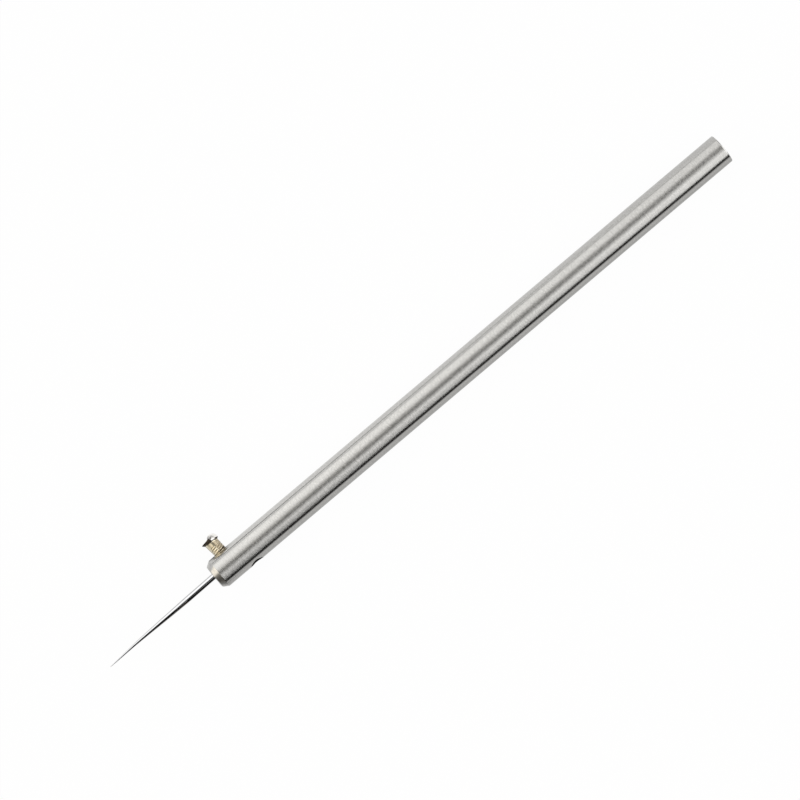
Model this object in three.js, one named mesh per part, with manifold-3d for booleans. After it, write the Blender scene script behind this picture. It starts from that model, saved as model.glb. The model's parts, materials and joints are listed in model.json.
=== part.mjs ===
// Leather awl: a round steel bar handle, a needle in a blind bore and the screw that clamps it.
// Millimetres. The origin is the centre of the butt face, +X runs along the handle out of the butt,
// and +Z is up with the awl lying on a bench, rolled until the screw's head touches the bench too.

import * as THREE from 'three';
import { mergeVertices } from 'three/addons/utils/BufferGeometryUtils.js';
import Module from 'manifold-3d';

// Handle
const handleDiameter = 8.0;
const handleLength = 163.5;
const noseChamferLength = 1.5;
const noseChamferDepth = 0.9;
const noseEdgeRound = 0.3;
const buttChamfer = 0.25;

// Needle
const needleDiameter = 1.52;
const needleOffset = 0.39; // bore centre at the nose face, from the handle's axis towards the screw
const needleTilt = 0.9; // degrees by which the tip runs away from the screw side
const needleHeld = 22.0; // length inside the handle
const shankOut = 8.8; // full diameter outside the handle
const bladeLength = 24.8; // ground slender from the shank to the point
const bladeCornerAhead = 11.2; // the blade's curved outline is drawn round a corner this far ahead
const bladeCornerDiameter = 1.1; // of the shank, at this diameter
const pointDiameter = 0.12;
const pointRounding = 0.04;
const tipHook = 0.14; // the point bends aside by this much, away from the screw side
const hookLength = 9.0;
const needleTailChamfer = 0.2;

// Clamp screw
const threadDiameter = 3.5;
const screwSetback = 5.1; // behind the nose face, at the handle's surface
const screwLean = 4.8; // degrees by which the head leans towards the nose
const threadOut = 3.0; // from the handle's surface to the underside of the head
const headDiameter = 4.45;
const headFlareHeight = 0.45;
const headRimHeight = 0.1;
const headTopHeight = 1.2; // above the rim
const headTopFlat = 2.4; // diameter of the flat that is left on top
const slotWidth = 0.6;
const slotDepth = 1.0;
const slotTurn = 13; // degrees from square across the handle
const wornDrop = 0.75; // the nose side of the head is worn lower than the other side
const wornSlope = 12; // degrees
const screwTipDiameter = 2.3;
const screwTipChamfer = 0.5;

// Cross hole, opposite the screw
const crossHoleDiameter = 3.45;
const crossHoleSetback = 10.4;

// Widened mouths of the two side holes
const clampHoleEdgeBreak = 0.5;
const crossHoleEdgeBreak = 0.25;

// Clearances
const boreClearance = 0.1; // round the needle
const boreEndGap = 0.3; // behind the needle
const drillPointAngle = 118; // degrees, at the bore's blind end
const threadClearance = 0.1; // round the screw
const tipGap = 0.1; // between the screw's tip and the needle
const benchGap = 0.02; // under the screw's head

// Facets
const handleSides = 32;
const needleSides = 32;
const screwSides = 40;
const holeSides = 40;
const arcSteps = 8;

const wasm = await Module();
wasm.setup();

const radians = THREE.MathUtils.degToRad;
const handleRadius = handleDiameter / 2;
const needleRadius = needleDiameter / 2;
const boreRadius = needleRadius + boreClearance;
const threadRadius = threadDiameter / 2;
const headRadius = headDiameter / 2;
const drillPointHeight = boreRadius / Math.tan(radians(drillPointAngle / 2));
const overcut = 2.0; // how far a cutting tool stands out of the material

// A mesh's own geometry as a solid, with shared corners merged and collapsed triangles left out
function solidOf(geometry) {
  const bare = geometry.clone();
  bare.deleteAttribute('normal');
  bare.deleteAttribute('uv');
  const merged = mergeVertices(bare, 1e-5);
  const index = merged.index.array;
  const triVerts = [];
  for (let i = 0; i < index.length; i += 3) {
    const [a, b, c] = [index[i], index[i + 1], index[i + 2]];
    if (a !== b && b !== c && c !== a) triVerts.push(a, b, c);
  }
  return new wasm.Manifold(new wasm.Mesh({
    numProp: 3,
    vertProperties: Float32Array.from(merged.attributes.position.array),
    triVerts: Uint32Array.from(triVerts),
  }));
}

function geometryOf(solid) {
  const { vertProperties, triVerts } = solid.getMesh();
  const geometry = new THREE.BufferGeometry();
  geometry.setAttribute('position', new THREE.BufferAttribute(vertProperties, 3));
  geometry.setIndex(new THREE.BufferAttribute(triVerts, 1));
  const flat = geometry.toNonIndexed();
  flat.computeVertexNormals();
  return flat;
}

function cutAll(geometry, cutters) {
  return geometryOf(cutters.reduce((solid, cutter) => solid.subtract(solidOf(cutter)), solidOf(geometry)));
}

// A profile of (radius, height) points turned round the Y axis
function turned(path, sides, phase = 0) {
  return new THREE.LatheGeometry(path.getPoints(arcSteps), sides, phase);
}

function placed(geometry, frame) {
  frame.updateMatrix();
  return geometry.applyMatrix4(frame.matrix);
}

// Frames that carry the needle, the screw and the holes, in the handle's own axes:
// X along the handle, Y towards the screw
function frameAt(x, y, turnDegrees) {
  const frame = new THREE.Group();
  frame.position.set(x, y, 0);
  frame.rotation.z = radians(turnDegrees);
  return frame;
}

const noseX = -handleLength;
const needleFrame = frameAt(noseX, needleOffset, needleTilt);
const screwFrame = frameAt(noseX + screwSetback, handleRadius, screwLean);
const crossHoleFrame = frameAt(noseX + crossHoleSetback, -handleRadius, 180);

// Heights of the clamp screw, with 0 where its axis crosses the handle's surface
const headRimTop = threadOut + headFlareHeight + headRimHeight;
const headTop = headRimTop + headTopHeight;

function headOutline() {
  const outline = new THREE.Path();
  outline.moveTo(threadRadius, threadOut);
  outline.lineTo(headRadius, threadOut + headFlareHeight);
  outline.lineTo(headRadius, headRimTop);
  outline.quadraticCurveTo(headRadius, headTop, headTopFlat / 2, headTop);
  outline.lineTo(0, headTop);
  return outline;
}

// The awl lies on a bench on one facet of its handle, rolled until the first point of the screw's head
// comes down to the bench: a circle of the head's outline dips by its reach and its radius together
function restingRoll() {
  const lean = radians(screwLean);
  const benchDrop = handleRadius * Math.cos(Math.PI / handleSides) - benchGap;
  const dips = headOutline().getPoints(arcSteps).map(({ x: radius, y: height }) => {
    const reach = handleRadius / Math.cos(lean) + height;
    return Math.asin(benchDrop / Math.hypot(reach, radius)) - Math.atan2(radius, reach);
  });
  return Math.asin(Math.sin(Math.min(...dips)) / Math.cos(lean));
}

const roll = restingRoll();

// Handle

function handleBar() {
  const profile = new THREE.Path();
  const faceRadius = handleRadius - noseChamferDepth;
  const along = noseChamferLength / Math.hypot(noseChamferLength, noseChamferDepth);
  const outward = noseChamferDepth / Math.hypot(noseChamferLength, noseChamferDepth);
  profile.moveTo(0, 0);
  profile.lineTo(faceRadius - noseEdgeRound, 0);
  profile.quadraticCurveTo(faceRadius, 0, faceRadius + noseEdgeRound * outward, noseEdgeRound * along);
  profile.lineTo(handleRadius, noseChamferLength);
  profile.lineTo(handleRadius, handleLength - buttChamfer);
  profile.lineTo(handleRadius - buttChamfer, handleLength);
  profile.lineTo(0, handleLength);
  // one facet faces straight down once the awl is rolled to its rest
  const bar = turned(profile, handleSides, roll + Math.PI / handleSides);
  return bar.rotateZ(-Math.PI / 2).translate(noseX, 0, 0);
}

function needleBore() {
  const depth = needleHeld + boreEndGap;
  const profile = new THREE.Path();
  profile.moveTo(0, -overcut);
  profile.lineTo(boreRadius, -overcut);
  profile.lineTo(boreRadius, depth);
  profile.lineTo(0, depth + drillPointHeight);
  return placed(turned(profile, holeSides).rotateZ(-Math.PI / 2), needleFrame);
}

// A hole from outside the handle down to the middle of the needle's bore, with its edge broken
function sideHole(frame, radius, depth, edgeBreak) {
  const mouth = radius + edgeBreak;
  const profile = new THREE.Path();
  profile.moveTo(0, -depth);
  profile.lineTo(radius, -depth);
  profile.lineTo(radius, -edgeBreak);
  profile.lineTo(mouth, 0);
  profile.lineTo(mouth, overcut);
  profile.lineTo(0, overcut);
  return placed(turned(profile, holeSides), frame);
}

function boreHeightAt(setback) {
  return needleOffset + setback * Math.tan(radians(needleTilt));
}

const handle = new THREE.Mesh(
  cutAll(handleBar(), [
    needleBore(),
    sideHole(
      screwFrame,
      threadRadius + threadClearance,
      handleRadius - boreHeightAt(screwSetback),
      clampHoleEdgeBreak,
    ),
    sideHole(
      crossHoleFrame,
      crossHoleDiameter / 2,
      handleRadius + boreHeightAt(crossHoleSetback),
      crossHoleEdgeBreak,
    ),
  ]),
  new THREE.MeshStandardMaterial({ color: 0xb4b2ae, roughness: 0.35, metalness: 1.0 }),
);
handle.name = 'handle';

// Needle, along X from its point to its tail inside the handle

const bladeStart = -shankOut;
const tip = bladeStart - bladeLength;

function needleProfile() {
  const profile = new THREE.Path();
  profile.moveTo(0, tip);
  profile.lineTo(pointDiameter / 2, tip + pointRounding);
  profile.quadraticCurveTo(bladeCornerDiameter / 2, bladeStart - bladeCornerAhead, needleRadius, bladeStart);
  profile.lineTo(needleRadius, needleHeld - needleTailChamfer);
  profile.lineTo(needleRadius - needleTailChamfer, needleHeld);
  profile.lineTo(0, needleHeld);
  return profile;
}

// The fine point hooks aside along a smooth S: level where it starts and level again at the tip
function hookPoint(geometry) {
  const position = geometry.attributes.position;
  for (let i = 0; i < position.count; i += 1) {
    const bend = THREE.MathUtils.smoothstep(tip + hookLength - position.getX(i), 0, hookLength);
    position.setY(i, position.getY(i) - tipHook * bend);
  }
  return geometry;
}

const needle = new THREE.Mesh(
  hookPoint(turned(needleProfile(), needleSides).rotateZ(-Math.PI / 2)),
  new THREE.MeshStandardMaterial({ color: 0xcfd0d2, roughness: 0.12, metalness: 1.0 }),
);
needle.name = 'needle';
needleFrame.add(needle);

// Clamp screw, along Y

function screwTipDepth() {
  const needleTop = boreHeightAt(screwSetback) + needleRadius;
  const slant = radians(screwLean + needleTilt);
  const edgeRise = (screwTipDiameter / 2) * Math.tan(slant);
  return (handleRadius - needleTop - tipGap) / Math.cos(slant) - edgeRise;
}

function screwBlank() {
  const tipDepth = screwTipDepth();
  const shank = new THREE.Path();
  shank.moveTo(0, -tipDepth);
  shank.lineTo(screwTipDiameter / 2, -tipDepth);
  shank.lineTo(threadRadius, -tipDepth + screwTipChamfer);
  const outline = new THREE.CurvePath();
  outline.curves.push(...shank.curves, new THREE.LineCurve(shank.currentPoint, headOutline().getPoint(0)));
  outline.curves.push(...headOutline().curves);
  return turned(outline, screwSides);
}

function slotCutter() {
  const blade = new THREE.BoxGeometry(slotWidth, slotDepth + overcut, headDiameter + overcut);
  return blade.translate(0, headTop - slotDepth / 2 + overcut / 2, 0).rotateY(radians(slotTurn));
}

// The wear takes the nose side of the head down in a slant that ends at the slot
function wearCutter() {
  const block = new THREE.BoxGeometry(headDiameter, overcut, headDiameter + overcut);
  block.translate(-headDiameter / 2, overcut / 2, 0);
  return block.rotateZ(radians(wornSlope)).translate(0, headTop - wornDrop / 2, 0).rotateY(radians(slotTurn));
}

const clampScrew = new THREE.Mesh(
  cutAll(screwBlank(), [slotCutter(), wearCutter()]),
  new THREE.MeshStandardMaterial({ color: 0xc9ab74, roughness: 0.28, metalness: 1.0 }),
);
clampScrew.name = 'clamp_screw';
screwFrame.add(clampScrew);

const awl = new THREE.Group();
awl.name = 'leather_awl';
awl.add(handle, needleFrame, screwFrame);
awl.rotation.x = -roll;

export default awl;
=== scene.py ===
"""Leather awl: a ground steel bar handle, a polished needle in its nose and a brass clamp screw."""

import json
import math

import bmesh
import bpy
from mathutils import Matrix, Vector


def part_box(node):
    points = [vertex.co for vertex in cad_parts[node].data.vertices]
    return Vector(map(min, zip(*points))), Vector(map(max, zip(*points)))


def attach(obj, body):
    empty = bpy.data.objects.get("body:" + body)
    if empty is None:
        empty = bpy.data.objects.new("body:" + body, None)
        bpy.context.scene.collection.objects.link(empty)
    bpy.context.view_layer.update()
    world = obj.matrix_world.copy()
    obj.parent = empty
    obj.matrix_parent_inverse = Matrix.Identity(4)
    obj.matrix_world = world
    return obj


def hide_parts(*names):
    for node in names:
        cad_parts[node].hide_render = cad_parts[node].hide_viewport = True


MM = 0.001

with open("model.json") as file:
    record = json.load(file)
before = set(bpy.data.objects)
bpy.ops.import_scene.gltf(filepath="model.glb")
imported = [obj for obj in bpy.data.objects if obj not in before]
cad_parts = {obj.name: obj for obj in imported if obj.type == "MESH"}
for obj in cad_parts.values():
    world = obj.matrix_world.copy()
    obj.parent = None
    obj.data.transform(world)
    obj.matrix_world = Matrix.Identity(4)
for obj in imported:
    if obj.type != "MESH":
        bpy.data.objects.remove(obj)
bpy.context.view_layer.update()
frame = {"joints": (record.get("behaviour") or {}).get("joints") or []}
joints = {joint["name"]: joint for joint in frame["joints"]}

# Handle, from the frame
handle_low, handle_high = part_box("handle")
nose_x = handle_low.x
handle_length = handle_high.x - handle_low.x
handle_radius = (handle_high.z - handle_low.z) / 2
bench_z = handle_low.z

# Handle details
nose_chamfer_length = 1.5 * MM
nose_chamfer_depth = 0.9 * MM
nose_edge_round = 0.3 * MM
butt_edge_break = 0.25 * MM
corner_round = 0.04 * MM
nose_face_ring = 0.6  # share of the nose face's radius
butt_face_ring = 0.5  # share of the butt face's radius
handle_sides = 256
# Rings of the barrel, by millimetres behind the nose, so that the holes cut short faces
handle_rings = (2.0, 2.5, 7.5, 8.0, 12.5, 13.0, 30.0, 60.0, 100.0, 140.0)

# Needle
needle_radius = 0.76 * MM
needle_offset = 0.39 * MM
needle_held = 22.0 * MM
needle_tail_break = 0.2 * MM
needle_sides = 64
shank_out = 8.8 * MM
shank_ring = 0.3 * MM  # behind the blade's start, to keep the shank straight in the shading
blade_length = 24.79 * MM
blade_corner_ahead = 11.2 * MM
blade_corner_radius = 0.55 * MM
blade_rings = 48
point_radius = 0.06 * MM
point_rounding = 0.04 * MM
point_flat_share = 0.3  # of the point's radius, left flat at the tip
point_corner_share = 0.9  # of the point's radius, where the tip's round has its corner
tip_hook = 0.19 * MM
hook_length = 9.0 * MM
blade_bow = 0.11 * MM
bow_length = 16.0 * MM
needle_pressed = 0.08 * MM  # by the screw, towards the far wall of the bore
grind_length = 4.6 * MM  # of the blade, over which its finish changes
bore_clearance = 0.1 * MM
bore_end_gap = 0.3 * MM
bore_sides = 64

# Clamp screw
thread_radius = 1.75 * MM
thread_depth = 0.14 * MM
thread_pitch = 0.6 * MM
thread_roundness = 0.8  # below 1, the crests are broader than the roots
thread_out = 3.0 * MM
thread_end = 1.85 * MM
thread_inside = 2.6 * MM
thread_runout = 0.6 * thread_pitch
neck_start_gap = 0.05 * MM  # from the thread's end to the plain neck's first ring
head_radius = 2.225 * MM
head_flare_height = 0.45 * MM
head_rim_height = 0.1 * MM
head_top_height = 1.2 * MM
head_top_flat = 1.2 * MM
neck_round = 0.15 * MM
neck_round_share = 0.3  # of the flare, taken up by the round under it
rim_round = 0.04 * MM
rim_round_share = 0.6  # of it, by which the flare ends inside the rim
slot_width = 0.6 * MM
slot_depth = 1.0 * MM
slot_turn = math.radians(13)
head_top = thread_out + head_flare_height + head_rim_height + head_top_height
# The nose side of the head is worn away over this outline in millimetres, square to the slot
worn_outline = [(-3.0, 3.45), (-0.95, 3.9), (-0.37, 4.15), (-0.1, 4.45), (0.0, 6.0), (-3.0, 6.0)]
worn_edge_round = 0.07 * MM
head_bend = math.radians(10)
head_top_bend = 0.25  # share of the bend that the flat top keeps
thread_clearance = 0.1 * MM

# Where the screw's brass takes painted shade and a painted highlight, by its height over the seat and by x
# from its axis, towards the butt
root_depth = 0.6 * thread_depth
shade_from_x = 0.1 * MM
shade_below = -0.12 * MM
# the band of painted shade at the screw's foot, where it meets the bar
foot_low = -0.15 * MM
foot_high = 0.1 * MM
foot_slope = 0.1
foot_from_x = -0.35 * MM
# between these x the painted shade under the flare covers only this share of its height
bright_flare_x = (0.1 * MM, 1.4 * MM)
bright_flare_from = 0.45  # share of the flare's height
# the slot's walls take painted shade between these heights
slot_margin = 0.02 * MM
slot_dark_from = head_top - 1.1 * slot_depth
slot_dark_below = 4.3 * MM  # the slot's walls are bright above this
shaded_rim_width = 0.35 * MM

# Side holes
clamp_hole_edge_break = 0.12 * MM
cross_hole_radius = 1.725 * MM
cross_hole_setback = 10.4 * MM
cross_hole_edge_break = 0.25 * MM
cross_hole_turn = math.radians(3)  # round the bar, up from straight across from the screw
side_hole_sides = 96
overcut = 2 * MM  # how far a cutter stands out of the metal

# Frames of the pieces: X along the handle and Y towards the screw, in the rolled awl
screw_axis = Vector(joints["clamp_screw_turn"]["axis"]).normalized()
screw_seat = Vector(joints["clamp_screw_turn"]["pos_m"])
needle_axis = -Vector(joints["needle_slide"]["axis"]).normalized()
roll = math.atan2(-screw_axis.z, screw_axis.y)
tool_frame = Matrix.Rotation(-roll, 4, "X")
screw_lean = math.asin(-screw_axis.x)
needle_tilt = math.asin((tool_frame.inverted() @ needle_axis).y)
needle_frame = (
    tool_frame @ Matrix.Translation((nose_x, needle_offset, 0)) @ Matrix.Rotation(needle_tilt, 4, "Z")
)
screw_frame = Matrix.Translation(screw_seat) @ tool_frame @ Matrix.Rotation(screw_lean, 4, "Z")
cross_hole_frame = (
    tool_frame
    @ Matrix.Rotation(-cross_hole_turn, 4, "X")
    @ Matrix.Translation((nose_x + cross_hole_setback, -handle_radius, 0))
    @ Matrix.Rotation(math.pi, 4, "Z")
)
ALONG_X = Matrix.Rotation(-math.pi / 2, 4, "Z")


# Mesh helpers


def mesh_object(name, vertices, faces):
    mesh = bpy.data.meshes.new(name)
    mesh.from_pydata(vertices, [], faces)
    mesh.validate()
    mesh.update()
    obj = bpy.data.objects.new(name, mesh)
    bpy.context.scene.collection.objects.link(obj)
    return obj


def arc_points(start, corner, end, steps):
    """A round corner as a quadratic curve from start to end, bent towards corner."""
    points = []
    for step in range(steps + 1):
        u = step / steps
        points.append(
            tuple((1 - u) ** 2 * a + 2 * u * (1 - u) * c + u**2 * e for a, c, e in zip(start, corner, end))
        )
    return points


def turned(name, outline, sides, place):
    """A closed solid of (radius, height) points turned round Y; the outline starts and ends on the axis."""
    vertices, rings = [], []
    for radius, height in outline:
        if radius < 1e-9:
            rings.append([len(vertices)] * sides)
            vertices.append(place @ Vector((0, height, 0)))
            continue
        rings.append(list(range(len(vertices), len(vertices) + sides)))
        for i in range(sides):
            a = math.tau * i / sides
            vertices.append(place @ Vector((radius * math.sin(a), height, radius * math.cos(a))))
    faces = []
    for low, high in zip(rings, rings[1:]):
        for i in range(sides):
            j = (i + 1) % sides
            corners = [low[i], low[j], high[j], high[i]]
            faces.append(list(dict.fromkeys(corners)))
    return mesh_object(name, vertices, [face for face in faces if len(face) > 2])


def cut(obj, cutters):
    """Cuts every cutter out of the piece, and removes the cutters."""
    for cutter in cutters:
        modifier = obj.modifiers.new("cut", "BOOLEAN")
        modifier.operation = "DIFFERENCE"
        modifier.solver = "EXACT"
        modifier.object = cutter
    apply_modifiers(obj)
    for cutter in cutters:
        bpy.data.objects.remove(cutter)


def apply_modifiers(obj):
    graph = bpy.context.evaluated_depsgraph_get()
    mesh = bpy.data.meshes.new_from_object(obj.evaluated_get(graph))
    old = obj.data
    obj.modifiers.clear()
    obj.data = mesh
    mesh.name = obj.name
    bpy.data.meshes.remove(old)


def smooth(obj, sharp_degrees):
    obj.data.shade_smooth()
    obj.data.set_sharp_from_angle(angle=math.radians(sharp_degrees))


# Handle


def handle_outline():
    face_radius = handle_radius - nose_chamfer_depth
    slant = math.hypot(nose_chamfer_length, nose_chamfer_depth)
    ahead = nose_chamfer_length / slant
    outward = nose_chamfer_depth / slant
    chamfer_foot = (face_radius + nose_edge_round * outward, nose_edge_round * ahead)
    shoulder = (handle_radius, nose_chamfer_length)
    before = (shoulder[0] - corner_round * outward, shoulder[1] - corner_round * ahead)
    after = (handle_radius, nose_chamfer_length + corner_round)
    outline = [(0, 0), (face_radius * nose_face_ring, 0)]
    outline += arc_points((face_radius - nose_edge_round, 0), (face_radius, 0), chamfer_foot, 6)
    outline += arc_points(before, shoulder, after, 4)
    outline += [(handle_radius, ring * MM) for ring in handle_rings]
    break_start = (handle_radius, handle_length - butt_edge_break)
    butt_rim = handle_radius - butt_edge_break
    outline += arc_points(break_start, (handle_radius, handle_length), (butt_rim, handle_length), 5)
    outline += [(butt_rim * butt_face_ring, handle_length), (0, handle_length)]
    return outline


def bore_height(setback):
    """How far the bore's centre is off the handle's axis, towards the screw, at a setback from the nose."""
    return needle_offset + setback * math.tan(needle_tilt)


def needle_bore():
    radius = needle_radius + bore_clearance
    depth = needle_held + bore_end_gap
    outline = [(0, -overcut), (radius, -overcut), (radius, depth), (0, depth + radius)]
    return turned("needle_bore", outline, bore_sides, needle_frame @ ALONG_X)


def side_hole(name, place, radius, depth, edge_break):
    mouth = radius + edge_break
    outline = [
        (0, -depth),
        (radius, -depth),
        (radius, -edge_break),
        (mouth, 0),
        (mouth, overcut),
        (0, overcut),
    ]
    return turned(name, outline, side_hole_sides, place)


def straighten_barrel(obj):
    """Gives the barrel true radial normals, also on the faces that the holes cut into."""
    mesh = obj.data
    barrel_tilt = 0.02  # the most that a barrel face's normal leans along x
    barrel_depth = 2e-6  # the most that its corners lie under the skin, in metres
    normals = [Vector(corner.vector) for corner in mesh.corner_normals]
    for face in mesh.polygons:
        radii = [Vector((0, *mesh.vertices[i].co.yz)).length for i in face.vertices]
        if abs(face.normal.x) > barrel_tilt or min(radii) < handle_radius - barrel_depth:
            continue
        for loop in face.loop_indices:
            co = mesh.vertices[mesh.loops[loop].vertex_index].co
            normals[loop] = Vector((0, co.y, co.z)).normalized()
    mesh.normals_split_custom_set(normals)


def make_handle():
    bar = turned("handle_bar", handle_outline(), handle_sides, Matrix.Translation((nose_x, 0, 0)) @ ALONG_X)
    screw_setback = screw_seat.x - nose_x
    cutters = [
        needle_bore(),
        side_hole(
            "clamp_hole",
            screw_frame,
            thread_radius + thread_clearance,
            handle_radius - bore_height(screw_setback),
            clamp_hole_edge_break,
        ),
        side_hole(
            "cross_hole",
            cross_hole_frame,
            cross_hole_radius,
            handle_radius + bore_height(cross_hole_setback),
            cross_hole_edge_break,
        ),
    ]
    cut(bar, cutters)
    smooth(bar, sharp_degrees=25)
    straighten_barrel(bar)
    return bar


# Needle


def needle_outline():
    blade_start = -shank_out
    tip = blade_start - blade_length
    point = (point_radius, tip + point_rounding)
    flat_edge = (point_radius * point_flat_share, tip)
    outline = [(0, tip)]
    outline += arc_points(flat_edge, (point_radius * point_corner_share, tip), point, 3)
    corner = (blade_corner_radius, blade_start - blade_corner_ahead)
    outline += arc_points(point, corner, (needle_radius, blade_start), blade_rings)[1:]
    for height in (blade_start + shank_ring, 0, needle_held - needle_tail_break):
        outline.append((needle_radius, height))
    outline += [(needle_radius - needle_tail_break, needle_held), (0, needle_held)]
    return outline


def make_needle():
    """The needle: its blade bows towards the screw, and its point hooks the other way."""
    needle = turned("awl_needle", needle_outline(), needle_sides, ALONG_X)
    hook_start = shank_out + blade_length - hook_length
    bends = ((shank_out, bow_length, blade_bow), (hook_start, hook_length, -tip_hook))
    for vertex in needle.data.vertices:
        for start, length, shift in bends:
            along = min(max((-vertex.co.x - start) / length, 0), 1)
            vertex.co.y += shift * along * along * (3 - 2 * along)
        vertex.co.y -= needle_pressed
    needle.data.transform(needle_frame)
    smooth(needle, sharp_degrees=35)
    return needle


# Clamp screw


def thread_rise(phase):
    """Height of the thread's profile over its root, from 0 to 1, at a phase from 0 to 1 of the pitch."""
    return math.sin(math.pi * phase) ** thread_roundness


def screw_outline():
    """(radius, height) points of the plain neck and the head, from the end of the thread to the flat top."""
    rim_low = thread_out + head_flare_height
    rim_top = rim_low + head_rim_height
    neck_end = (thread_radius, thread_out - neck_round)
    flare_start = (
        thread_radius + (head_radius - thread_radius) * neck_round_share,
        thread_out + head_flare_height * neck_round_share,
    )
    flare_end = (head_radius - rim_round * rim_round_share, rim_low - rim_round)
    outline = [(thread_radius, thread_end + neck_start_gap)]
    outline += arc_points(neck_end, (thread_radius, thread_out), flare_start, 6)
    outline += arc_points(flare_end, (head_radius, rim_low), (head_radius, rim_low + rim_round), 4)
    outline += arc_points((head_radius, rim_top), (head_radius, head_top), (head_top_flat, head_top), 14)
    return outline


def screw_body(sides=96, steps_per_pitch=12):
    """The threaded shank, the plain neck and the flared head as one closed skin round Y."""
    low, high = -thread_inside, thread_end
    steps = round((high - low) / thread_pitch * steps_per_pitch)
    rings = []
    for step in range(steps + 1):
        height = low + (high - low) * step / steps
        runout = min((height - low) / thread_runout, (high - height) / thread_runout, 1)
        rings.append((thread_radius, height, thread_depth * max(runout, 0)))
    rings += [(radius, height, 0) for radius, height in screw_outline()]
    vertices, faces = [], []
    for radius, height, depth in rings:
        for i in range(sides):
            angle = math.tau * i / sides
            phase = (height / thread_pitch - i / sides) % 1
            reach = radius - depth * (1 - thread_rise(phase))
            vertices.append((reach * math.sin(angle), height, reach * math.cos(angle)))
    for ring in range(len(rings) - 1):
        for i in range(sides):
            j = (i + 1) % sides
            a, b = ring * sides, (ring + 1) * sides
            faces.append((a + i, a + j, b + j, b + i))
    faces.append(tuple(reversed(range(sides))))
    faces.append(tuple(range((len(rings) - 1) * sides, len(rings) * sides)))
    return mesh_object("clamp_screw_brass", vertices, faces)


def box_cutter(name, size, centre):
    bm = bmesh.new()
    bmesh.ops.create_cube(bm, size=1.0)
    bm.transform(Matrix.Translation(centre) @ Matrix.Diagonal((*size, 1)))
    mesh = bpy.data.meshes.new(name)
    bm.to_mesh(mesh)
    bm.free()
    obj = bpy.data.objects.new(name, mesh)
    bpy.context.scene.collection.objects.link(obj)
    return obj


def wear_cutter():
    depth = head_radius * 1.5
    count = len(worn_outline)
    vertices = [(x * MM, y * MM, z) for z in (-depth, depth) for x, y in worn_outline]
    faces = [(i, (i + 1) % count, (i + 1) % count + count, i + count) for i in range(count)]
    faces += [tuple(reversed(range(count))), tuple(range(count, 2 * count))]
    return mesh_object("wear", vertices, faces)


def paint_screw_shade(screw):
    """Picks each face's material: 0 brass, 1 darker brass as painted shade in the thread's roots, inside the
    hole and down the butt-side half, 2 near-black painted shade at the foot, under the flare, in the slot and
    round the head's worn side, and 3 a painted highlight on the head's butt-side half.
    """
    unturn = Matrix.Rotation(-slot_turn, 3, "Y")
    neck = thread_out - neck_round
    for face in screw.data.polygons:
        centre = unturn @ face.center
        x, y = face.center.x, centre.y
        radius = math.hypot(centre.x, centre.z)
        # painted shade: darker brass in the thread's roots, inside the hole and down the butt-side half
        root = y < thread_end and radius < thread_radius - root_depth
        shaded_side = y < neck and (x > shade_from_x or y < shade_below)
        # painted shade at the screw's foot, where it meets the bar
        foot = foot_low < y < foot_slope * x + foot_high and x > foot_from_x
        # painted shade under the flare, lower on its butt side
        flare_share = bright_flare_from if bright_flare_x[0] < x < bright_flare_x[1] else 1
        flare_top = thread_out + head_flare_height * flare_share
        flare = thread_out < y < flare_top and radius > thread_radius
        # painted shade on the slot's walls
        in_slot = abs(centre.x) < slot_width / 2 + slot_margin and slot_dark_from < y < slot_dark_below
        # painted shade round the rim on the head's worn side
        shaded_rim = centre.x < 0 and y > thread_out and radius > head_radius - shaded_rim_width
        if foot or flare or in_slot or shaded_rim:
            face.material_index = 2
        # painted highlight: near-white brass on the head's butt-side half
        elif y > thread_out and x > 0:
            face.material_index = 3
        else:
            face.material_index = int(root or shaded_side)


def bend_head(screw):
    """Leans the whole head over towards the butt, as a knocked screw has it, with its top left in place."""
    for vertex in screw.data.vertices:
        height = vertex.co.y
        above = min(max((height - thread_end) / (thread_out - thread_end), 0), 1)
        below_top = min((head_top - height) / head_top_height, 1)
        share = above * (head_top_bend + (1 - head_top_bend) * below_top)
        vertex.co.y -= vertex.co.x * math.tan(head_bend) * share


def make_screw():
    screw = screw_body()
    slot = box_cutter("slot", (slot_width, slot_depth * 2, head_radius * 3), (0, head_top, 0))
    wear = wear_cutter()
    for cutter in (slot, wear):
        cutter.data.transform(Matrix.Rotation(slot_turn, 4, "Y"))
    cut(screw, [slot, wear])
    worn_edges = screw.modifiers.new("worn_edges", "BEVEL")
    worn_edges.width = worn_edge_round
    worn_edges.segments = 3
    worn_edges.limit_method = "ANGLE"
    worn_edges.angle_limit = math.radians(50)
    apply_modifiers(screw)
    paint_screw_shade(screw)
    bend_head(screw)
    screw.data.transform(screw_frame)
    smooth(screw, sharp_degrees=50)
    return screw


# Node helpers


def new_material(name, metallic=1.0):
    material = bpy.data.materials.new(name)
    material.use_nodes = True
    nodes, links = material.node_tree.nodes, material.node_tree.links
    shader = nodes["Principled BSDF"]
    shader.inputs["Metallic"].default_value = metallic
    return material, nodes, links, shader


def stretched_noise(nodes, links, scale, detail=3.0, roughness=0.6):
    """Noise in the piece's own coordinates, stretched by a scale per metre on each axis."""
    place = nodes.new("ShaderNodeTexCoord")
    mapping = nodes.new("ShaderNodeMapping")
    mapping.inputs["Scale"].default_value = scale
    texture = nodes.new("ShaderNodeTexNoise")
    texture.inputs["Scale"].default_value = 1.0
    texture.inputs["Detail"].default_value = detail
    texture.inputs["Roughness"].default_value = roughness
    links.new(place.outputs["Object"], mapping.inputs["Vector"])
    links.new(mapping.outputs["Vector"], texture.inputs["Vector"])
    return texture.outputs["Fac"]


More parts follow.
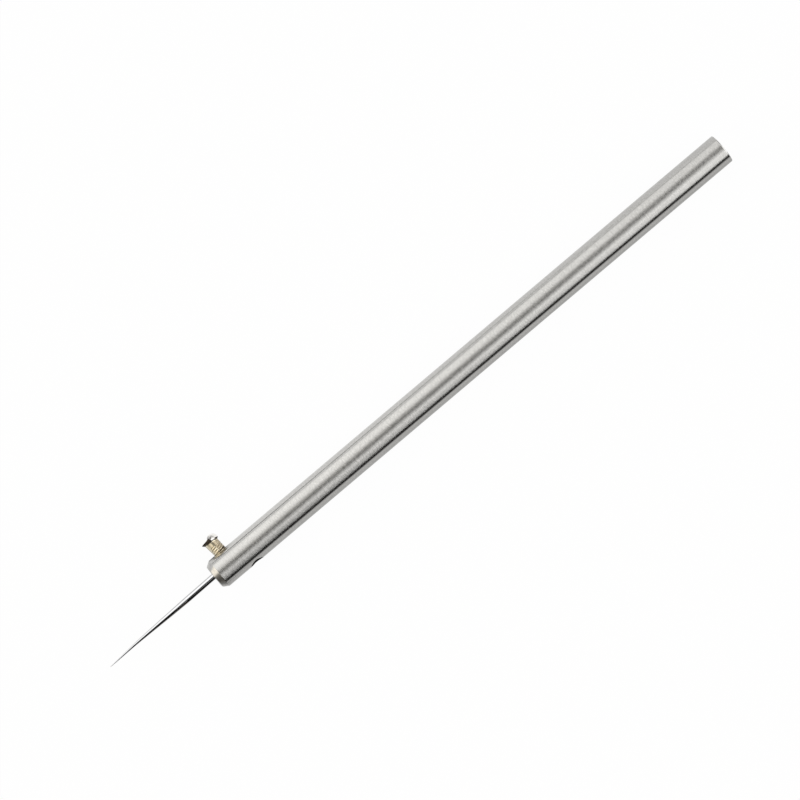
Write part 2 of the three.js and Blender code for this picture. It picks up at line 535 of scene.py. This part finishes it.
def ramp(nodes, links, source, stops):
    """A colour by (position, colour) stops."""
    node = nodes.new("ShaderNodeValToRGB")
    elements = node.color_ramp.elements
    while len(elements) > 1:
        elements.remove(elements[-1])
    elements[0].position, elements[0].color = stops[0][0], (*stops[0][1], 1)
    for position, colour in stops[1:]:
        element = elements.new(position)
        element.color = (*colour, 1)
    links.new(source, node.inputs["Fac"])
    return node.outputs["Color"]


def map_range(nodes, links, source, low, high, to_low, to_high):
    node = nodes.new("ShaderNodeMapRange")
    for key, value in (("From Min", low), ("From Max", high), ("To Min", to_low), ("To Max", to_high)):
        node.inputs[key].default_value = value
    links.new(source, node.inputs["Value"])
    return node.outputs["Result"]


def mix_colours(nodes, links, factor, first, second):
    """Goes from the first colour to the second; each is a socket or a plain RGBA colour."""
    node = nodes.new("ShaderNodeMix")
    node.data_type = "RGBA"
    links.new(factor, node.inputs["Factor"])
    for key, colour in (("A", first), ("B", second)):
        if isinstance(colour, tuple):
            node.inputs[key].default_value = colour
        else:
            links.new(colour, node.inputs[key])
    return node.outputs["Result"]


def calculate(nodes, links, operation, first, second):
    """A math node on two values, the second of which may be a plain number."""
    node = nodes.new("ShaderNodeMath")
    node.operation = operation
    links.new(first, node.inputs[0])
    if isinstance(second, (int, float)):
        node.inputs[1].default_value = second
    else:
        links.new(second, node.inputs[1])
    return node.outputs[0]


def split_xyz(nodes, links, vector):
    node = nodes.new("ShaderNodeSeparateXYZ")
    links.new(vector, node.inputs[0])
    return node.outputs


def bump(nodes, links, source, distance, strength, shader):
    node = nodes.new("ShaderNodeBump")
    node.inputs["Distance"].default_value = distance
    node.inputs["Strength"].default_value = strength
    links.new(source, node.inputs["Height"])
    links.new(node.outputs["Normal"], shader.inputs["Normal"])


# Materials


def hole_shade_mask(nodes, links):
    """1 on the walls of the two side holes, which take painted shade, and 0 on the bar's outside and ends."""
    skin = (0.004 * MM, 0.03 * MM)  # the depths between which the walls go dark
    end_margin = (1.6 * MM, 2.2 * MM)  # the distances from either end between which they do
    place = nodes.new("ShaderNodeTexCoord")
    x, y, z = split_xyz(nodes, links, place.outputs["Object"])
    across = nodes.new("ShaderNodeCombineXYZ")
    links.new(y, across.inputs["Y"])
    links.new(z, across.inputs["Z"])
    length = nodes.new("ShaderNodeVectorMath")
    length.operation = "LENGTH"
    links.new(across.outputs[0], length.inputs[0])
    radius = length.outputs["Value"]
    deep = map_range(nodes, links, radius, handle_radius - skin[0], handle_radius - skin[1], 0, 1)
    behind = map_range(nodes, links, x, nose_x + end_margin[0], nose_x + end_margin[1], 0, 1)
    before = map_range(nodes, links, x, -end_margin[1], -end_margin[0], 1, 0)
    deep = calculate(nodes, links, "MULTIPLY", deep, behind)
    return calculate(nodes, links, "MULTIPLY", deep, before)


def ground_steel():
    """Steel ground round the bar, with fine marks, and painted shade in its side holes."""
    material, nodes, links, shader = new_material("ground_steel")
    shaded_hole_metallic = 0.3
    marks = stretched_noise(nodes, links, (3600, 1400, 1400), detail=2, roughness=0.5)
    colour = ramp(nodes, links, marks, [(0.3, (0.56, 0.552, 0.532)), (0.7, (0.68, 0.672, 0.65))])
    painted_hole_shade = hole_shade_mask(nodes, links)
    # painted shade: the walls of the side holes go near black and less metallic
    shaded_colour = mix_colours(nodes, links, painted_hole_shade, colour, (0.04, 0.036, 0.032, 1))
    links.new(shaded_colour, shader.inputs["Base Color"])
    links.new(map_range(nodes, links, painted_hole_shade, 0, 1, 1, shaded_hole_metallic), shader.inputs["Metallic"])
    links.new(map_range(nodes, links, marks, 0.3, 0.7, 0.19, 0.225), shader.inputs["Roughness"])
    shader.inputs["Anisotropic"].default_value = 0.86
    shader.inputs["Anisotropic Rotation"].default_value = 0.25
    tangent = nodes.new("ShaderNodeTangent")
    tangent.direction_type = "RADIAL"
    tangent.axis = "X"
    links.new(tangent.outputs["Tangent"], shader.inputs["Tangent"])
    bump(nodes, links, marks, 0.0015 * MM, 0.5, shader)
    return material


def polished_steel():
    """Needle steel: less bright where its taper starts, with painted shade down the side away from the screw.
    """
    material, nodes, links, shader = new_material("polished_steel")
    marks = stretched_noise(nodes, links, (900, 9000, 9000))
    colour = ramp(nodes, links, marks, [(0.35, (0.66, 0.66, 0.66)), (0.65, (0.74, 0.74, 0.75))])
    place = nodes.new("ShaderNodeTexCoord")
    x = split_xyz(nodes, links, place.outputs["Object"])["X"]
    grind_start = nose_x - shank_out
    grind_lead = 0.1 * MM  # behind the blade's start, where the change begins
    shade_side_y = (-0.3, -0.6)  # the normal's y values between which the painted shade sets in
    along = map_range(nodes, links, x, grind_start + grind_lead, grind_start - grind_length, 0, 1)
    finish = [(0.0, (0.05,) * 3), (0.04, (0.14,) * 3), (0.7, (0.12,) * 3), (1.0, (0.07,) * 3)]
    links.new(ramp(nodes, links, along, finish), shader.inputs["Roughness"])
    # painted shade: the side away from the screw goes dark, darkest on the shank
    facing_y = split_xyz(nodes, links, place.outputs["Normal"])["Y"]
    shade_share = map_range(nodes, links, facing_y, *shade_side_y, 0, 1)
    shade_tones = [(0.0, (0.035, 0.032, 0.03)), (0.04, (0.2, 0.14, 0.11)), (1.0, (0.35, 0.34, 0.33))]
    shaded_colour = mix_colours(nodes, links, shade_share, colour, ramp(nodes, links, along, shade_tones))
    links.new(shaded_colour, shader.inputs["Base Color"])
    return material


def brass(name, shade, gloss, metallic=1.0, specular=0.5):
    """Brass in patches between two shades, with two roughnesses."""
    material, nodes, links, shader = new_material(name, metallic)
    patches = stretched_noise(nodes, links, (900, 900, 900))
    links.new(ramp(nodes, links, patches, [(0.35, shade[0]), (0.62, shade[1])]), shader.inputs["Base Color"])
    links.new(map_range(nodes, links, patches, 0.3, 0.7, *gloss), shader.inputs["Roughness"])
    shader.inputs["Specular IOR Level"].default_value = specular
    return material


def dress(piece, body, node, slot, *materials):
    for material in materials:
        piece.data.materials.append(material)
    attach(piece, body)
    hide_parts(node)


dress(make_handle(), "handle", "handle", "ground_steel", ground_steel())
dress(make_needle(), "needle", "needle", "polished_steel", polished_steel())
worn_brass = brass("worn_brass", ((0.7, 0.62, 0.45), (0.84, 0.77, 0.6)), (0.22, 0.13))
# darker brass for the painted shade on the thread
shaded_brass = brass("shaded_brass", ((0.34, 0.285, 0.19), (0.56, 0.48, 0.35)), (0.35, 0.22))
# near-black brass for painted shade
painted_shade_tones = ((0.012, 0.009, 0.006), (0.06, 0.045, 0.03))
painted_shade_brass = brass("painted_shade_brass", painted_shade_tones, (0.55, 0.4), metallic=0.2, specular=0.2)
# near-white brass for a painted highlight
painted_highlight = brass("painted_highlight", ((0.93, 0.9, 0.85), (0.99, 0.97, 0.94)), (0.22, 0.15))
dress(make_screw(), "clamp_screw", "clamp_screw", "screw_brass", worn_brass, shaded_brass, painted_shade_brass, painted_highlight)


# Stage: a pale floor that the awl lies on
floor_half_size = 0.6
floor_share_seen = 0.97  # plain white to the camera; the rest takes shadow
# How bright metal shows the floor, by metres across the awl: painted shade away from the screw,
# with a painted dark strip on the screw's side, seen only in reflections, that fades towards the butt
FLOOR_MIRRORED = [
    (-0.02, 0.62), (-0.012, 0.54), (-0.006, 0.62), (0.006, 0.92), (0.022, 0.97), (0.027, 0.05), (0.034, 0.05),
    (0.042, 1.0), (0.08, 1.0),
]
FLOOR_MIRRORED_BUTT = [(-0.02, 0.62), (-0.012, 0.5), (-0.006, 0.62), (0.006, 0.76), (0.08, 0.85)]
# The same ahead of the nose, for the needle
FLOOR_MIRRORED_NEEDLE = [
    (-0.08, 0.1), (-0.03, 0.2), (-0.015, 0.35), (-0.008, 0.6), (0.002, 0.85), (0.008, 0.75), (0.05, 0.75),
    (0.08, 0.9),
]
floor_ramp_reach = 0.1
floor_butt_blend = (0.9 * nose_x, 0.1 * nose_x)
floor_needle_blend = (nose_x + 1.5 * MM, nose_x)
# The dim patch of floor round the foot of the screw, as metal mirrors it
screw_shade_centre = (screw_seat.x - 0.8 * MM, 5 * MM, bench_z)
screw_shade_inner = 1.5 * MM
screw_shade_outer = 4.5 * MM
screw_shade_level = 0.08

WHITE = (1, 1, 1, 1)
BLACK = (0, 0, 0, 1)


def make_floor():
    middle = nose_x / 2
    left, right = middle - floor_half_size, middle + floor_half_size
    near, far = -floor_half_size, floor_half_size
    corners = [(left, near), (right, near), (right, far), (left, far)]
    floor = mesh_object("floor", [(x, y, bench_z) for x, y in corners], [(0, 1, 2, 3)])
    material = bpy.data.materials.new("pale_floor")
    material.use_nodes = True
    nodes, links = material.node_tree.nodes, material.node_tree.links
    nodes.clear()
    diffuse = nodes.new("ShaderNodeBsdfDiffuse")
    diffuse.inputs["Color"].default_value = (0.9, 0.9, 0.9, 1)
    seen = nodes.new("ShaderNodeLightPath")
    place = nodes.new("ShaderNodeTexCoord")
    x, y, _ = split_xyz(nodes, links, place.outputs["Object"])
    across = map_range(nodes, links, y, -floor_ramp_reach, floor_ramp_reach, 0, 1)

    def mirrored(levels):
        stops = [((y / floor_ramp_reach + 1) / 2, (level,) * 3) for y, level in levels]
        return ramp(nodes, links, across, stops)

    to_butt = map_range(nodes, links, x, *floor_butt_blend, 0, 1)
    ahead = map_range(nodes, links, x, *floor_needle_blend, 0, 1)
    bar_floor = mix_colours(nodes, links, to_butt, mirrored(FLOOR_MIRRORED), mirrored(FLOOR_MIRRORED_BUTT))
    reflected = mix_colours(nodes, links, ahead, bar_floor, mirrored(FLOOR_MIRRORED_NEEDLE))
    from_screw = nodes.new("ShaderNodeVectorMath")
    from_screw.operation = "DISTANCE"
    from_screw.inputs[1].default_value = screw_shade_centre
    links.new(place.outputs["Object"], from_screw.inputs[0])
    clear = map_range(
        nodes, links, from_screw.outputs["Value"], screw_shade_inner, screw_shade_outer, screw_shade_level, 1
    )
    reflected = mix_colours(nodes, links, clear, BLACK, reflected)
    glow = nodes.new("ShaderNodeEmission")
    shown = mix_colours(nodes, links, seen.outputs["Is Glossy Ray"], WHITE, reflected)
    links.new(shown, glow.inputs["Color"])
    direct = calculate(nodes, links, "MULTIPLY", seen.outputs["Is Camera Ray"], floor_share_seen)
    share = calculate(nodes, links, "MAXIMUM", direct, seen.outputs["Is Glossy Ray"])
    mix = nodes.new("ShaderNodeMixShader")
    links.new(share, mix.inputs["Fac"])
    links.new(diffuse.outputs[0], mix.inputs[1])
    links.new(glow.outputs[0], mix.inputs[2])
    output = nodes.new("ShaderNodeOutputMaterial")
    links.new(mix.outputs[0], output.inputs["Surface"])
    floor.data.materials.append(material)


make_floor()

# Light: a studio all round, brighter and darker by the angle round the handle.
# Angles are degrees from straight up, positive away from the screw.
# The columns follow the direction's x. NOSE and ASIDE are on the nose's side, OVER is over the handle
# with CAMERA as a strip in it, and BUTT, REAR, END and FAR follow towards the butt and past it.
STUDIO_NOSE = [
    (-92, 1.3), (-85, 1.5), (-60, 1.5), (-40, 1.4), (-28, 1.1), (-18, 0.8), (-8, 0.4), (6, 0.22), (28, 0.15),
    (60, 0.08), (80, 0.1), (92, 0.3),
]
STUDIO_ASIDE = [
    (-92, 1.3), (-85, 1.5), (-60, 1.5), (-40, 1.4), (-28, 1.3), (-18, 1.1), (-8, 0.7), (6, 0.4), (28, 0.2),
    (60, 0.08), (80, 0.1), (92, 0.3),
]
STUDIO_CAMERA = [
    (-92, 0.3), (-84, 1.3), (-70, 1.5), (-32, 1.5), (-22, 1.0), (-15, 0.45), (-8, 0.05), (6, 0.03), (14, 0.0),
    (79, 0.0), (88, 0.75),
]
STUDIO_OVER = [
    (-92, 0.4), (-88, 0.6), (-82, 1.3), (-66, 1.5), (-51, 1.4), (-43, 1.1), (-36, 0.6), (-29, 0.25),
    (-22, 0.05), (-6, 0.0), (-1, 0.15), (6, 0.65), (13, 1.1), (20, 1.35), (28, 0.95), (34, 0.4), (40, 0.05),
    (44, 0.0), (74, 0.0), (80, 0.5), (88, 0.95), (92, 0.85),
]
# The columns towards the butt and just past it differ only in the bright field away from the screw
STUDIO_BUTT_START = [
    (-92, 0.5), (-88, 0.5), (-83, 0.7), (-70, 0.8), (-55, 0.74), (-40, 0.6), (-30, 0.28), (-20, 0.08),
    (-14, 0.14), (-8, 0.35), (-1, 0.67), (6, 0.96), (20, 1.42),
]
STUDIO_BUTT_FINISH = [(72, 0.0), (79, 0.1), (86, 0.45), (92, 0.6)]
STUDIO_BUTT = [
    *STUDIO_BUTT_START, (36, 1.6), (43, 1.5), (48, 0.85), (52, 0.2), (55, 0.0), *STUDIO_BUTT_FINISH,
]
STUDIO_REAR = [
    *STUDIO_BUTT_START, (36, 1.65), (44, 2.0), (52, 2.4), (57, 1.5), (62, 0.5), (66, 0.0),
    *STUDIO_BUTT_FINISH,
]
STUDIO_END = [
    (-92, 0.4), (-84, 0.5), (-60, 0.6), (-42, 1.0), (-34, 1.0), (-26, 0.75), (-16, 0.85), (-8, 1.1), (6, 1.4),
    (20, 1.6), (40, 1.8), (48, 2.2), (56, 2.2), (62, 1.2), (66, 0.0), (76, 0.0), (86, 0.3), (92, 0.4),
]
STUDIO_FAR = [
    (-92, 0.4), (-84, 0.5), (-60, 0.5), (-42, 0.7), (-32, 1.1), (-22, 1.4), (-15, 2.0), (46, 2.0), (60, 0.5),
    (92, 0.4),
]
NO_TINT = (1, 1, 1)
NOSE_TINT = (1.0, 0.94, 0.84)
# Each column takes over from the one before it as the direction's x goes from the first value to the second
STUDIO_TURNS = [
    (STUDIO_ASIDE, NOSE_TINT, -0.78, -0.7),
    (STUDIO_OVER, NO_TINT, -0.27, -0.2),
    (STUDIO_CAMERA, NO_TINT, -0.17, -0.13),
    (STUDIO_OVER, NO_TINT, -0.005, 0.01),
    (STUDIO_BUTT, NO_TINT, 0.01, 0.14),
    (STUDIO_REAR, NO_TINT, 0.12, 0.18),
    (STUDIO_END, NO_TINT, 0.22, 0.32),
    (STUDIO_FAR, NO_TINT, 0.4, 0.5),
]


def make_world():
    world = bpy.data.worlds.new("studio")
    bpy.context.scene.world = world
    world.use_nodes = True
    nodes, links = world.node_tree.nodes, world.node_tree.links
    nodes.clear()
    direction = nodes.new("ShaderNodeTexCoord")
    x, y, z = split_xyz(nodes, links, direction.outputs["Generated"])
    away = calculate(nodes, links, "MULTIPLY", y, -1)
    angle = calculate(nodes, links, "ARCTAN2", away, z)
    position = map_range(nodes, links, angle, -math.pi, math.pi, 0, 1)

    def band(stops, tint):
        levels = [((degrees + 180) / 360, tuple(level * part for part in tint)) for degrees, level in stops]
        return ramp(nodes, links, position, levels)

    light = band(STUDIO_NOSE, NOSE_TINT)
    for column, tint, low, high in STUDIO_TURNS:
        turn = map_range(nodes, links, x, low, high, 0, 1)
        light = mix_colours(nodes, links, turn, light, band(column, tint))
    studio = nodes.new("ShaderNodeBackground")
    links.new(light, studio.inputs["Color"])
    white = nodes.new("ShaderNodeBackground")
    white.inputs["Color"].default_value = WHITE
    seen = nodes.new("ShaderNodeLightPath")
    mix = nodes.new("ShaderNodeMixShader")
    links.new(seen.outputs["Is Camera Ray"], mix.inputs["Fac"])
    links.new(studio.outputs[0], mix.inputs[1])
    links.new(white.outputs[0], mix.inputs[2])
    output = nodes.new("ShaderNodeOutputWorld")
    links.new(mix.outputs[0], output.inputs["Surface"])


make_world()

# Camera: a long lens that looks down on the awl, square to the screw within a few degrees
camera_tilt = math.radians(8)  # from straight up towards the screw side
camera_lead = math.radians(2.2)  # towards the nose
camera_turn = math.radians(40.19)  # the handle's rise in the picture
camera_distance = 1.228
camera_lens = 225
camera_sensor = 36
camera_clip = (0.01, 10)
aim_along = -0.1007  # from the butt
aim_aside = 0.00386


def make_camera():
    data = bpy.data.cameras.new("camera")
    data.lens = camera_lens
    data.sensor_width = camera_sensor
    data.clip_start, data.clip_end = camera_clip
    camera = bpy.data.objects.new("camera", data)
    bpy.context.scene.collection.objects.link(camera)
    back = Vector((-math.sin(camera_lead), math.sin(camera_tilt), math.cos(camera_tilt)))
    back = back.normalized()
    across = Vector((1, 0, 0)) - back * back.x
    across.normalize()
    up = back.cross(across)
    right = math.cos(camera_turn) * across - math.sin(camera_turn) * up
    top = math.sin(camera_turn) * across + math.cos(camera_turn) * up
    aim = Vector((aim_along, 0, 0)) + up * aim_aside
    rotation = Matrix((right, top, back)).transposed().to_4x4()
    camera.matrix_world = Matrix.Translation(aim + back * camera_distance) @ rotation
    bpy.context.scene.camera = camera


make_camera()

bpy.context.scene.view_settings.view_transform = "Standard"
